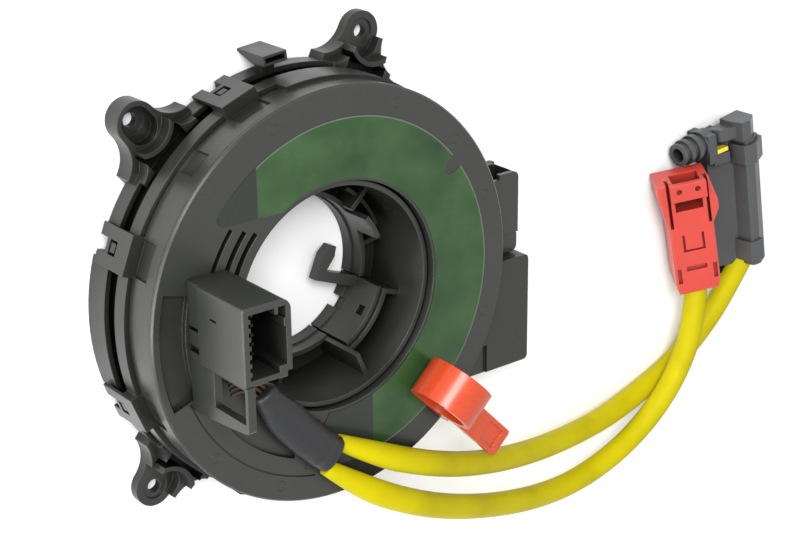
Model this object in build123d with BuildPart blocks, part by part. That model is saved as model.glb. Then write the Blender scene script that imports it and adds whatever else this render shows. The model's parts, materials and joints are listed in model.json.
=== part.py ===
from build123d import *
import os
from math import atan2, cos, degrees, hypot, radians, sin, tan

# Steering clock spring: a fixed ring-shaped case, a rotor that turns in it, the coiled
# flat cable between them, two airbag leads with their plugs and a pull-out locking key.
# Millimetres. The origin is on the spin axis in the plane of the mounting ears' backs,
# +Z points out of the rotor's face and the column connector block lies on the +X side.

# Driving sizes of the whole part
face_z = 24.7
case_r = 51.3
bore_r = 27.7
fit_gap = 0.1
run_gap = 0.4

# Fixed case: the outer band, the neck inside it and the channel between them
case_back = 2.3
floor_t = 1.8
band_top = 6.9
band_wall_t = 1.2
channel_low = 3.9
channel_w = 3.0
neck_r = case_r - channel_w
wall_t = 1.5
neck_low = 5.7
neck_top = face_z - neck_low
skirt_half = 17.5

# Mounting ears
ear_t = 2.5
ear_r = 4.95
ear_wall_top = 5.2
ear_hole_r = 1.7
ear_spot_r = 3.1
ear_spot_t = 0.4
ear_out = 7.9
ear_reach = case_r + ear_out
ear_left_angle = 131.0
ear_right_angle = 66.0
spur_out = 1.5
spur_angle = 11.5
head_r = 3.75
scallop_r = 6.2
shoulder_top = 8.6
shoulder_wall_t = 1.1
sweep_angle = 10.5
sweep_sag = 0.9

# Front cover ring
ring_in = 0.7
ring_r = case_r - ring_in
ring_back = 10.2
ring_top = 14.2
groove_t = 0.5
groove_r = neck_r + 0.9
cover_r_low = neck_r + 1.2
cover_r_high = neck_r + 1.5
cover_low = 1.3
cover_top = face_z - cover_low
wide_ring_top = 18.2
wide_ring_from = 69.5
wide_ring_to = 99.5

# Snap latches between the two case halves
latch_w = 9.4
latch_out = 1.0
latch_r = case_r + latch_out
latch_top = 14.7
prong_w = 3.0
prong_end = 2.6
notch_top = 5.7
window_low = 6.8
window_top = 9.8
wedge_w = 2.2
latch_angles = [111.0, 158.5, 201.5, 249.0, 325.0, 35.0]
pocket_depth = 0.9
pocket_top = 20.0
wide_pocket_w = 8.5
small_pocket_w = 6.0
small_pocket_angles = [131.0, 229.0]

# Guide tab on the case's upper side
guide_angle = 96.0
guide_w = 6.4
guide_l = 10.3
guide_t = 2.4
guide_out = 4.5
guide_stem_w = 3.4

# Rotor
plate_t = 2.0
plate_r = neck_r - 1.0
lip_t = 0.9
lip_over = 0.2
disc_r = cover_r_high + lip_over
disc_edge = 0.4
hub_wall_t = 1.7
hub_r = bore_r + hub_wall_t
hub_low = 2.1
flange_w = 2.2
flange_r = hub_r + flange_w
flange_low = 0.7
floor_bore_r = hub_r + 0.3
sleeve_wall_t = 1.2
sleeve_floor_t = 1.4
sleeve_r = bore_r - 0.5
sleeve_low = 1.8
column_r = 19.2
column_wall_t = 1.6
column_high = 7.0
column_seat = 3.4
column_step = 0.4
collar_r = column_r + column_step
frame_wall_t = 1.2
frame_high = 15.0
frame_from = -64.0
frame_to = -21.0
finger_low = 0.8
finger_t = 2.5
tongue_from = 21.0
tongue_to = 40.0
notch_from = -43.0
notch_to = -34.0
pane_from = -40.0
pane_to = -33.0
screen_out = 4.0
screen_t = 0.9
screen_high = 10.0
rib_t = 1.2
ribs = [(-66.0, 20.0), (-18.5, 15.0), (8.0, 6.5), (45.0, 11.0), (95.0, 9.0), (150.0, 9.0), (205.0, 9.0), (255.0, 9.0)]
recess_t = 1.4
recess_from = 165.0
recess_to = 199.0
recess_out = 2.0
recess_in = 8.5
lead_recess_t = 0.9
lead_recess_in = 39.3
lead_recess_from = 218.0
lead_recess_to = 249.0
step_r = 43.8
step_t = 0.3
step_from = 200.0
step_to = 259.0
face_slots = [(29.8, 1.3, 137.0, 161.0), (32.6, 1.3, 139.0, 160.0), (36.2, 1.1, 141.0, 158.0)]

# Switch connector on the rotor's face
switch_w = 12.4
switch_in = 0.9
switch_x1 = -(bore_r + switch_in)
switch_x0 = switch_x1 - switch_w
switch_y0 = -3.3
switch_y1 = 14.6
switch_h = 22.0
switch_wall_t = 1.5
switch_depth = 16.0
switch_corner_r = 2.8
switch_base_h = 4.5
switch_base_in = 0.5
chute_low = -16.0
chute_wall_t = 2.0
chute_rail_t = 0.6
chute_window_low = 9.1
chute_window_top = 21.0
chute_window_y = -12.0

# Column connector block on the case
cover_out = 16.7
cover_x1 = case_r + cover_out
cover_in = 9.5
cover_x0 = case_r - cover_in
cover_y0 = -38.5
cover_y1 = -9.2
cover_block_top = 14.1
socket_in = 0.6
socket_w = 14.9
socket_x0 = case_r + socket_in
socket_x1 = socket_x0 + socket_w
socket_y0 = cover_y1 + 0.4
socket_y1 = 12.7
socket_top = 10.9
socket_seam_y = -3.6
block_low = 1.6
tray_from = -46.0
tray_to = 20.0
cover_step_x = 53.8
cover_step_y = -30.8
cover_step_t = 0.8
block_wall_t = 1.3
socket_depth = 13.0
pin_w = 0.64
pin_pitch = 2.2
pin_row = 2.6
pin_l = 8.0
seam_t = 0.5
seam_w = 0.5

# Label film
film_t = 0.15
film_in = 7.6
film_r = disc_r - film_in
film_shift = 1.2
film_edge = 0.6
film_inner_r = bore_r + film_edge
film_from_y = 24.1
film_tip_r = 1.8
film_notch_r = film_r + 0.1
film_notch_angle = 36.5

# Locking key
key_angle = 313.6
key_side = -1.3
key_ring_r = 8.5
key_ring_wall = 1.8
key_ring_w = 9.5
key_ring_in = 11.5
key_ring_at = disc_r - key_ring_in
key_tab_w = 7.6
key_tab_t = 2.0
key_tab_out = 20.5
key_tab_end = disc_r + key_tab_out
key_clear = 0.3
key_foot_w = 4.0
key_foot_in = 6.0
key_foot_at = disc_r - key_foot_in
key_foot_t = 1.6

# Airbag leads
cord_r = 3.2

# Squib plugs
plug_wall_t = 1.2


def ring_sector(inner_r, outer_r, start, end):
    """A flat ring sector between two radii, from one angle to another in degrees."""
    with BuildSketch(mode=Mode.PRIVATE) as sector:
        Circle(outer_r)
        Circle(inner_r, mode=Mode.SUBTRACT)
        reach = 3 * outer_r
        half = (end - start) / 2
        middle = (start + end) / 2
        with BuildLine():
            left = PolarLine((0, 0), reach, start)
            right = PolarLine((0, 0), reach, end)
            Line(left @ 1, (reach * 1.5 * cos(radians(middle)), reach * 1.5 * sin(radians(middle))))
            Line((reach * 1.5 * cos(radians(middle)), reach * 1.5 * sin(radians(middle))), right @ 1)
        make_face(mode=Mode.INTERSECT)
    return sector.sketch


def polar(radius, angle):
    """The point at a radius and an angle in degrees."""
    return (radius * cos(radians(angle)), radius * sin(radians(angle)))


def radial_plane(angle, height=0.0):
    """A level plane on the axis whose x points outward at an angle."""
    outward = (cos(radians(angle)), sin(radians(angle)), 0)
    return Plane(origin=(0, 0, height), x_dir=outward, z_dir=(0, 0, 1))


# Each ear: its angle and the side of its screw pocket that stays open
ears = [
    (ear_left_angle, 0),
    (ear_right_angle, -1),
    (-ear_left_angle, 1),
    (-ear_right_angle, 1),
]

os.makedirs("parts", exist_ok=True)

# Rear case: floor, outer band, neck wall, mounting ears, guide tab and latch wedges
with BuildPart() as rear_case:
    with BuildSketch(Plane.XY.offset(case_back)):
        Circle(case_r)
    extrude(amount=band_top - case_back)
    with BuildSketch(Plane.XY.offset(case_back)):
        Circle(neck_r)
    extrude(amount=neck_top - case_back)
    # The skirt on the side away from the column block reaches the mounting plane
    with BuildSketch(Plane.XY):
        add(ring_sector(neck_r, case_r, 180 - skirt_half, 180 + skirt_half))
    extrude(amount=case_back)
    spur = polar(case_r + spur_out, spur_angle)
    sweep_end = polar(case_r - fit_gap, sweep_angle)
    corner = (ear_reach - (scallop_r**2 - ear_r**2) ** 0.5, ear_r)
    sweep_mid = ((corner[0] + sweep_end[0]) / 2 - sweep_sag, (corner[1] + sweep_end[1]) / 2 - sweep_sag)
    for angle, open_side in ears:
        # Lug and gussets, which sweep out to a spur on either side
        with BuildSketch(radial_plane(angle)):
            with BuildLine():
                CenterArc((ear_reach, 0), ear_r, -90, 180)
                TangentArc((ear_reach, ear_r), spur, tangent=(-1, 0))
                Line(spur, (neck_r, spur[1]))
                Line((neck_r, spur[1]), (neck_r, -spur[1]))
                Line((neck_r, -spur[1]), (spur[0], -spur[1]))
                TangentArc((ear_reach, -ear_r), (spur[0], -spur[1]), tangent=(-1, 0))
            make_face()
        extrude(amount=ear_wall_top)
        # The shoulder carries the case wall out to the lug
        with BuildSketch(radial_plane(angle)):
            with BuildLine():
                Polyline(corner, (ear_reach, ear_r), (ear_reach, -ear_r), (corner[0], -corner[1]))
                ThreePointArc(
                    (corner[0], -corner[1]),
                    (sweep_mid[0], -sweep_mid[1]),
                    (sweep_end[0], -sweep_end[1]),
                )
                Polyline(
                    (sweep_end[0], -sweep_end[1]),
                    (neck_r, -sweep_end[1]),
                    (neck_r, sweep_end[1]),
                    sweep_end,
                )
                ThreePointArc(sweep_end, sweep_mid, corner)
            make_face()
        extrude(amount=shoulder_top)
        # Screw pocket, its scallop above and the hollow behind it
        with BuildSketch(radial_plane(angle, ear_t)):
            with Locations((ear_reach, 0)):
                Circle(head_r)
            with Locations((ear_reach + head_r - scallop_r + run_gap, 0)):
                Circle(head_r)
            make_hull()
            if open_side:
                with Locations((ear_reach - head_r, -open_side * 2 * ear_r)):
                    Rectangle(2 * scallop_r, 4 * ear_r, align=(Align.MIN, Align.CENTER))
                with Locations((ear_reach, 0)):
                    Rectangle(2 * ear_r, 2 * ear_r + 1.0, align=(Align.MIN, Align.CENTER))
        extrude(amount=shoulder_top, mode=Mode.SUBTRACT)
        with BuildSketch(radial_plane(angle, ear_wall_top)):
            with Locations((ear_reach, 0)):
                Circle(scallop_r)
        extrude(amount=shoulder_top, mode=Mode.SUBTRACT)
        with BuildSketch(radial_plane(angle, channel_low)):
            with Locations((case_r - band_wall_t, 0)):
                Rectangle(2 * (corner[0] - case_r), 2 * sweep_mid[1] - shoulder_wall_t)
            with Locations((ear_reach, 0)):
                Circle(scallop_r + shoulder_wall_t, mode=Mode.SUBTRACT)
        extrude(amount=shoulder_top, mode=Mode.SUBTRACT)
        with BuildSketch(radial_plane(angle)):
            with Locations((ear_reach, 0)):
                Circle(ear_hole_r)
        extrude(amount=ear_t, mode=Mode.SUBTRACT)
        with BuildSketch(radial_plane(angle, ear_t)):
            with Locations((ear_reach, 0)):
                Circle(ear_spot_r)
        extrude(amount=-ear_spot_t, mode=Mode.SUBTRACT)
    # Neck wall again, where the shoulders' hollows reached it, and the channel beside it
    with BuildSketch(Plane.XY.offset(case_back)):
        Circle(neck_r)
    extrude(amount=neck_top - case_back)
    with BuildSketch(Plane.XY.offset(channel_low)):
        Circle(case_r - band_wall_t)
        Circle(neck_r, mode=Mode.SUBTRACT)
    extrude(amount=band_top, mode=Mode.SUBTRACT)
    # Hollow inside: the cable's room above the floor and the open back below it
    with BuildSketch(Plane.XY.offset(case_back + floor_t)):
        Circle(neck_r - wall_t)
    extrude(amount=neck_top, mode=Mode.SUBTRACT)
    with BuildSketch(Plane.XY):
        Circle(neck_r)
    extrude(amount=case_back, mode=Mode.SUBTRACT)
    with BuildSketch(Plane.XY):
        Circle(floor_bore_r)
    extrude(amount=neck_top, mode=Mode.SUBTRACT)
    # Tray that carries the column connector block
    with BuildSketch(Plane.XY):
        with BuildLine():
            Polyline(
                (cover_x0, cover_y0),
                (cover_x1, cover_y0),
                (cover_x1, cover_y1),
                (socket_x1, cover_y1),
                (socket_x1, socket_y1),
                (neck_r, socket_y1),
                close=True,
            )
        make_face()
        Circle(neck_r, mode=Mode.SUBTRACT)
    extrude(amount=block_low)
    with BuildSketch(Plane.XY):
        add(ring_sector(neck_r, case_r, tray_from, tray_to))
    extrude(amount=case_back)
    # Guide tab: a tapered block on its stem, hollow at the front
    guide_r = case_r + guide_out
    guide_plane = radial_plane(guide_angle)
    with BuildSketch(Plane(origin=(0, 0, 0), x_dir=guide_plane.x_dir, z_dir=guide_plane.y_dir * -1)):
        with BuildLine():
            Polyline(
                (guide_r, 0),
                (guide_r, guide_l),
                (guide_r - guide_t, guide_l),
                (guide_r - guide_t, guide_l / 2),
                (guide_r - guide_t / 4, 0),
                close=True,
            )
        make_face()
    extrude(amount=guide_w / 2, both=True)
    with BuildSketch(radial_plane(guide_angle, guide_l)):
        with Locations((guide_r - guide_t / 2, 0)):
            Rectangle(guide_t / 2, guide_w - guide_t / 2)
    extrude(amount=-guide_l / 4, mode=Mode.SUBTRACT)
    with BuildSketch(radial_plane(guide_angle, channel_low)):
        with Locations(((case_r + guide_r - guide_t) / 2, 0)):
            Rectangle(guide_out - guide_t + 1.0, guide_stem_w)
    extrude(amount=band_top - channel_low)
    # At each latch the band stands taller behind the plate and carries the wedge
    for angle in latch_angles:
        with BuildSketch(radial_plane(angle, channel_low)):
            with Locations((case_r - band_wall_t / 2, 0)):
                Rectangle(band_wall_t, wedge_w)
        extrude(amount=window_top - channel_low - 2 * fit_gap)
        with BuildSketch(radial_plane(angle, window_low + run_gap)):
            with Locations((case_r - fit_gap, 0)):
                Rectangle(2 * latch_out - 2 * fit_gap, wedge_w)
        extrude(amount=wedge_w - run_gap)
        with BuildSketch(radial_plane(angle)):
            with Locations((case_r, 0)):
                Rectangle(2 * band_wall_t, latch_w - 2 * prong_w)
        extrude(amount=notch_top, mode=Mode.SUBTRACT)
rear_case.part.label = "rear_case"
export_step(rear_case.part, "parts/rear_case.step")

# Front cover: the ring that closes the case, with its latches and tool pockets
with BuildPart() as front_cover:
    with BuildSketch(Plane.XZ):
        with BuildLine():
            Polyline(
                (neck_r + fit_gap, ring_back),
                (ring_r, ring_back),
                (ring_r, ring_top),
                (groove_r, ring_top),
                (groove_r, ring_top + groove_t),
                (cover_r_low, ring_top + groove_t),
                (cover_r_high, cover_top),
                (plate_r + run_gap, cover_top),
                (plate_r + run_gap, neck_top + fit_gap),
                (neck_r + fit_gap, neck_top + fit_gap),
                close=True,
            )
        make_face()
    revolve(axis=Axis.Z)
    with BuildSketch(Plane.XY.offset(ring_top - 0.1)):
        add(ring_sector(groove_r - 0.4, ring_r, wide_ring_from, wide_ring_to))
    extrude(amount=wide_ring_top - ring_top)
    pockets = [(angle, wide_pocket_w) for angle in latch_angles]
    pockets = pockets + [(angle, small_pocket_w) for angle in small_pocket_angles]
    for angle, width in pockets:
        with BuildSketch(radial_plane(angle, latch_top)):
            with Locations((cover_r_high, 0)):
                Rectangle(2 * pocket_depth, width)
        extrude(amount=pocket_top - latch_top, mode=Mode.SUBTRACT)
    # Latches: a root on the ring, a plate before the band with its window, two prongs
    inside = case_r + 2 * fit_gap
    for angle in latch_angles:
        with BuildSketch(radial_plane(angle, ring_back)):
            with Locations(((latch_r + groove_r - wall_t / 2) / 2, 0)):
                Rectangle(latch_r - groove_r + wall_t / 2, latch_w)
        extrude(amount=latch_top - ring_back)
        with BuildSketch(radial_plane(angle, prong_end)):
            with Locations(((latch_r + inside) / 2, 0)):
                Rectangle(latch_r - inside, latch_w)
        extrude(amount=latch_top - prong_end)
        with BuildSketch(radial_plane(angle, 0)):
            with Locations((latch_r, 0)):
                Rectangle(4 * latch_out, latch_w - 2 * prong_w)
        extrude(amount=notch_top, mode=Mode.SUBTRACT)
        with BuildSketch(radial_plane(angle, window_low)):
            with Locations((latch_r, 0)):
                Rectangle(4 * latch_out, latch_w - 2 * prong_w)
        extrude(amount=window_top - window_low, mode=Mode.SUBTRACT)
front_cover.part.label = "front_cover"
export_step(front_cover.part, "parts/front_cover.step")

# Column side: the cover over the terminals and the plug socket beside it
with BuildPart() as terminal_cover:
    with BuildSketch(Plane.XY.offset(block_low)):
        with Locations((cover_x0, cover_y0)):
            Rectangle(cover_x1 - cover_x0, cover_y1 - cover_y0, align=(Align.MIN, Align.MIN))
        Circle(latch_r + run_gap, mode=Mode.SUBTRACT)
    extrude(amount=cover_block_top - block_low)
    fillet(terminal_cover.edges().filter_by(Axis.Z).sort_by(Axis.X)[-2:], block_wall_t)
    chamfer(terminal_cover.faces().sort_by(Axis.Z)[-1].edges(), block_wall_t / 4)
    with BuildSketch(Plane.XY.offset(block_low)):
        with Locations((cover_x1 - block_wall_t, (cover_y0 + cover_y1) / 2)):
            Rectangle(
                cover_out - 2 * block_wall_t - latch_out - run_gap,
                cover_y1 - cover_y0 - 2 * block_wall_t,
                align=(Align.MAX, Align.CENTER),
            )
    extrude(amount=cover_block_top - block_low - block_wall_t, mode=Mode.SUBTRACT)
    with BuildSketch(Plane.XY.offset(cover_block_top)):
        with Locations((cover_step_x, cover_step_y)):
            Rectangle(cover_out, cover_out, align=(Align.MAX, Align.MAX))
    extrude(amount=-cover_step_t, mode=Mode.SUBTRACT)
terminal_cover.part.label = "terminal_cover"
export_step(terminal_cover.part, "parts/terminal_cover.step")

socket_x = (socket_x0 + socket_x1) / 2
with BuildPart() as column_socket:
    with BuildSketch(Plane.XY.offset(block_low)):
        with Locations((socket_x, (socket_y0 + socket_y1) / 2)):
            Rectangle(socket_x1 - socket_x0, socket_y1 - socket_y0)
    extrude(amount=socket_top - block_low)
    fillet(column_socket.edges().filter_by(Axis.Z).sort_by(Axis.X)[-2:], 1.6)
    with BuildSketch(Plane.XZ.offset(-socket_y1)):
        with Locations((socket_x, (block_low + socket_top) / 2)):
            RectangleRounded(
                socket_x1 - socket_x0 - 2 * block_wall_t,
                socket_top - block_low - 2 * block_wall_t,
                0.6,
            )
    extrude(amount=socket_depth, mode=Mode.SUBTRACT)
    # Seam round the body, the lower body behind it and the thumb notch in the mouth
    with BuildSketch(Plane.XZ.offset(-socket_seam_y)):
        with Locations((socket_x, socket_top)):
            Rectangle(2 * socket_w, seam_t, align=(Align.CENTER, Align.CENTER))
        with Locations((socket_x1, socket_top / 2)):
            Rectangle(seam_t, 2 * socket_top)
    extrude(amount=seam_w, mode=Mode.SUBTRACT)
    with BuildSketch(Plane.XY.offset(socket_top - seam_t)):
        with Locations((socket_x, (socket_seam_y + socket_y0) / 2)):
            Rectangle(2 * socket_w, socket_seam_y - socket_y0)
    extrude(amount=seam_t, mode=Mode.SUBTRACT)
    with BuildSketch(Plane.XY.offset(socket_top)):
        with Locations((socket_x - block_wall_t, socket_y1)):
            Rectangle(socket_w / 3, 2 * block_wall_t)
    extrude(amount=-block_wall_t, mode=Mode.SUBTRACT)
column_socket.part.label = "column_socket"
export_step(column_socket.part, "parts/column_socket.step")

with BuildPart() as column_pins:
    with BuildSketch(Plane.XZ.offset(-(socket_y1 - socket_depth))):
        with Locations((socket_x, (block_low + socket_top) / 2)):
            with GridLocations(pin_pitch, pin_row, 5, 2):
                Rectangle(pin_w, pin_w)
    extrude(amount=-pin_l)
column_pins.part.label = "column_pins"
export_step(column_pins.part, "parts/column_pins.step")

# Rotor: front disc with its lip, hub wall, recesses and slots
with BuildPart() as rotor_disc:
    with BuildSketch(Plane.XZ):
        with BuildLine():
            Polyline(
                (bore_r, hub_low),
                (hub_r, hub_low),
                (hub_r, face_z - plate_t),
                (plate_r, face_z - plate_t),
                (plate_r, face_z - lip_t),
                (disc_r, face_z - lip_t),
                (disc_r, face_z - disc_edge),
                (disc_r - disc_edge, face_z),
                (bore_r, face_z),
                close=True,
            )
        make_face()
    revolve(axis=Axis.Z)
    # Sunken area beside the switch connector and the one under the leads
    with BuildSketch(Plane.XY.offset(face_z)):
        add(ring_sector(disc_r - recess_in, disc_r - recess_out, recess_from, recess_to))
    extrude(amount=-recess_t, mode=Mode.SUBTRACT)
    with BuildSketch(Plane.XY.offset(face_z)):
        add(ring_sector(bore_r - 1.0, lead_recess_in, lead_recess_from, lead_recess_to))
    extrude(amount=-lead_recess_t, mode=Mode.SUBTRACT)
    with BuildSketch(Plane.XY.offset(face_z)):
        add(ring_sector(step_r - 0.4, step_r, step_from, step_to))
    extrude(amount=-step_t, mode=Mode.SUBTRACT)
    # Long slots right through beside the bore
    with BuildSketch(Plane.XY.offset(face_z)):
        for slot_r, slot_w, slot_from, slot_to in face_slots:
            add(ring_sector(slot_r, slot_r + slot_w, slot_from, slot_to))
    extrude(amount=-2 * plate_t, mode=Mode.SUBTRACT)
    # Slot for the locking key's foot
    with BuildSketch(radial_plane(key_angle, face_z - plate_t)):
        with Locations((key_foot_at, key_side)):
            Rectangle(key_foot_t + 2 * key_clear, key_foot_w + 2 * key_clear)
    extrude(amount=2 * plate_t, mode=Mode.SUBTRACT)
rotor_disc.part.label = "rotor_disc"
export_step(rotor_disc.part, "parts/rotor_disc.step")

# Rear half of the rotor: outer sleeve, floor, column collar and its ribs
with BuildPart() as rotor_hub:
    hub_floor = case_back - 0.3
    floor_top = hub_floor + sleeve_floor_t
    with BuildSketch(Plane.XZ):
        with BuildLine():
            Polyline(
                (column_r, 0),
                (column_r + column_wall_t, 0),
                (column_r + column_wall_t, flange_low),
                (flange_r, flange_low),
                (flange_r, hub_floor),
                (sleeve_r, hub_floor),
                (sleeve_r, face_z - sleeve_low),
                (sleeve_r - sleeve_wall_t, face_z - sleeve_low),
                (sleeve_r - sleeve_wall_t, floor_top),
                (column_r + column_wall_t, floor_top),
                (column_r + column_wall_t, column_high),
                (collar_r, column_high),
                (collar_r, column_seat),
                (column_r, column_seat),
                close=True,
            )
        make_face()
    revolve(axis=Axis.Z)
    # Low screen wall round the collar and the ribs that tie both to the sleeve
    with BuildSketch(Plane.XY.offset(hub_floor)):
        screen_r = column_r + screen_out
        add(ring_sector(screen_r, screen_r + screen_t, tongue_from, tongue_to + 15.0))
    extrude(amount=screen_high - hub_floor)
    rib_in = column_r + column_wall_t / 2
    for angle, top in ribs:
        with BuildSketch(radial_plane(angle, hub_floor)):
            with Locations((rib_in, 0)):
                Rectangle(sleeve_r - sleeve_wall_t / 2 - rib_in, rib_t, align=(Align.MIN, Align.CENTER))
        extrude(amount=top - hub_floor)
    # Tall tongue of the collar
    with BuildSketch(Plane.XY.offset(column_seat)):
        add(ring_sector(collar_r, column_r + column_wall_t, tongue_from, tongue_to))
    extrude(amount=frame_high - column_seat)
    # The collar gives way to a taller frame where the finger block is set in
    frame_in = column_r + column_wall_t + 2 * fit_gap
    with BuildSketch(Plane.XY):
        add(ring_sector(column_r - 1.0, frame_in, frame_from, frame_to + 6.0))
    extrude(amount=frame_high, mode=Mode.SUBTRACT)
    with BuildSketch(Plane.XY.offset(flange_low)):
        add(ring_sector(frame_in, frame_in + frame_wall_t, frame_from - 2.0, frame_to + 2.0))
    extrude(amount=frame_high - flange_low)
rotor_hub.part.label = "rotor_hub"
export_step(rotor_hub.part, "parts/rotor_hub.step")

# Finger block in the bore, with its hooked spring finger
with BuildPart() as finger_block:
    block_wall = column_wall_t
    with BuildSketch(Plane.XY.offset(fit_gap)):
        add(ring_sector(column_r, column_r + block_wall, frame_from + 1.5, frame_to + 5.0))
    extrude(amount=column_seat - fit_gap)
    with BuildSketch(Plane.XY.offset(column_seat)):
        add(ring_sector(collar_r, column_r + block_wall, frame_from + 1.5, frame_to + 5.0))
    extrude(amount=frame_high - finger_low - column_seat)
    # Notch in its rear edge, the thumb recess over it and the small window
    with BuildSketch(Plane.XY):
        add(ring_sector(column_r - 1.0, column_r + 2 * block_wall, notch_from, notch_to))
    extrude(amount=finger_t, mode=Mode.SUBTRACT)
    with BuildSketch(Plane.XY.offset(finger_t)):
        add(ring_sector(column_r - 1.0, collar_r + block_wall / 3, notch_from, notch_to))
    extrude(amount=finger_t, mode=Mode.SUBTRACT)
    with BuildSketch(Plane.XY.offset(frame_high - 2 * finger_t)):
        add(ring_sector(column_r - 1.0, column_r + 2 * block_wall, pane_from, pane_to))
    extrude(amount=finger_t, mode=Mode.SUBTRACT)
    # Hooked finger, a flat spring arm above the shaft's seat
    with BuildSketch(Plane(origin=(*polar(column_r, -18.5), column_seat + fit_gap))):
        with BuildLine():
            Polyline(
                (1.2, -1.4),
                (0.0, -1.8),
                (-11.9, 2.9),
                (-9.3, 8.9),
                (-7.1, 10.7),
                (-5.3, 9.9),
                (-5.9, 7.5),
                (-8.5, 4.3),
                (0.6, 0.9),
                close=True,
            )
        make_face()
    extrude(amount=finger_t)
finger_block.part.label = "finger_block"
export_step(finger_block.part, "parts/finger_block.step")

# Switch connector on the rotor's face, with its pins
switch_x = (switch_x0 + switch_x1) / 2
switch_y = (switch_y0 + switch_y1) / 2
switch_l = switch_y1 - switch_y0
inner_w = switch_w - 2 * switch_wall_t
inner_l = switch_l - 2 * switch_wall_t
tooth = 1.0
with BuildPart() as switch_socket:
    with BuildSketch(Plane.XY.offset(face_z)):
        with Locations((switch_x, switch_y)):
            Rectangle(switch_w, switch_l)
    extrude(amount=switch_h)
    fillet(switch_socket.edges().filter_by(Axis.Z).sort_by(SortBy.DISTANCE)[-1:], 0.6)
    outer_corner = switch_socket.edges().filter_by(Axis.Z).sort_by(Axis.X)[-2:].sort_by(Axis.Y)[-1]
    fillet(outer_corner, switch_corner_r)
    chamfer(switch_socket.faces().sort_by(Axis.Z)[-1].edges(), switch_wall_t / 5)
    with BuildSketch(Plane.XY.offset(face_z + switch_h)):
        with Locations((switch_x, switch_y)):
            Rectangle(inner_w, inner_l)
        # Teeth along the outer wall and keying ribs on the inner and end walls
        with Locations((switch_x - inner_w / 2, switch_y)):
            with GridLocations(0, 2 * tooth, 1, 7):
                Rectangle(tooth, tooth, mode=Mode.SUBTRACT)
        with Locations((switch_x + inner_w / 2, switch_y + inner_l / 4)):
            Rectangle(tooth, 2 * tooth, mode=Mode.SUBTRACT)
        with Locations((switch_x + inner_w / 2, switch_y - inner_l / 2)):
            Rectangle(4 * tooth, 3 * tooth, mode=Mode.SUBTRACT)
        with Locations((switch_x + inner_w / 4, switch_y + inner_l / 2)):
            Rectangle(0.8 * tooth, 3 * tooth, mode=Mode.SUBTRACT)
    extrude(amount=-switch_depth, mode=Mode.SUBTRACT)
    # Step at the inner lower corner and the slot along the lower lip
    with BuildSketch(Plane.XY.offset(face_z + switch_h)):
        with Locations((switch_x1, switch_y0)):
            Rectangle(3 * tooth, 3 * tooth)
        with Locations((switch_x + tooth, switch_y0)):
            Rectangle(inner_w / 3, 0.6 * tooth)
    extrude(amount=-switch_base_h, mode=Mode.SUBTRACT)
    # The base stands back and has two slots and the latch window between them
    with BuildSketch(Plane.XY.offset(face_z)):
        with Locations((switch_x0, switch_y)):
            Rectangle(2 * switch_base_in, 2 * switch_l)
    extrude(amount=switch_base_h, mode=Mode.SUBTRACT)
    with BuildSketch(Plane.YZ.offset(switch_x0)):
        with Locations((switch_y - 1.8, face_z + switch_base_h / 2)):
            Rectangle(0.9, switch_base_h)
        with Locations((switch_y0 + 2.4, face_z + switch_base_h / 2)):
            Rectangle(1.6, switch_base_h)
        with Locations((switch_y + 3.0, face_z + switch_base_h + 6.0)):
            Rectangle(0.5, 2.8)
    extrude(amount=switch_wall_t, mode=Mode.SUBTRACT)
switch_socket.part.label = "switch_socket"
export_step(switch_socket.part, "parts/switch_socket.step")

with BuildPart() as switch_pins:
    with BuildSketch(Plane.XY.offset(face_z + switch_h - switch_depth)):
        with Locations((switch_x, switch_y)):
            with GridLocations(pin_row, pin_pitch, 2, 6):
                Rectangle(pin_w, pin_w)
    extrude(amount=pin_l)
switch_pins.part.label = "switch_pins"
export_step(switch_pins.part, "parts/switch_pins.step")

# Cable chute below the switch connector
with BuildPart() as cable_chute:
    with BuildSketch(Plane.YZ.offset(switch_x0 + switch_base_in)):
        with BuildLine():
            Polyline(
                (switch_y0, face_z),
                (switch_y0, face_z + switch_h),
                (chute_low + 2.0, face_z + switch_h),
                (chute_low, face_z + switch_base_h),
                (chute_low, face_z),
                close=True,
            )
        make_face()
        with Locations((chute_window_y, face_z + chute_window_low)):
            Rectangle(
                switch_y0 - chute_window_y - chute_rail_t,
                chute_window_top - chute_window_low,
                align=(Align.MIN, Align.MIN),
                mode=Mode.SUBTRACT,
            )
    extrude(amount=chute_wall_t)
    # Foot that ties the wall to the disc
    with BuildSketch(Plane.XY.offset(face_z)):
        with Locations((switch_x0 + switch_base_in, chute_low)):
            Rectangle(3 * chute_wall_t, chute_wall_t, align=(Align.MIN, Align.MIN))
    extrude(amount=chute_wall_t)
    fillet(cable_chute.edges().filter_by(Axis.X).sort_by(Axis.Z)[-1:], chute_wall_t / 2)
cable_chute.part.label = "cable_chute"
export_step(cable_chute.part, "parts/cable_chute.step")

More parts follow.
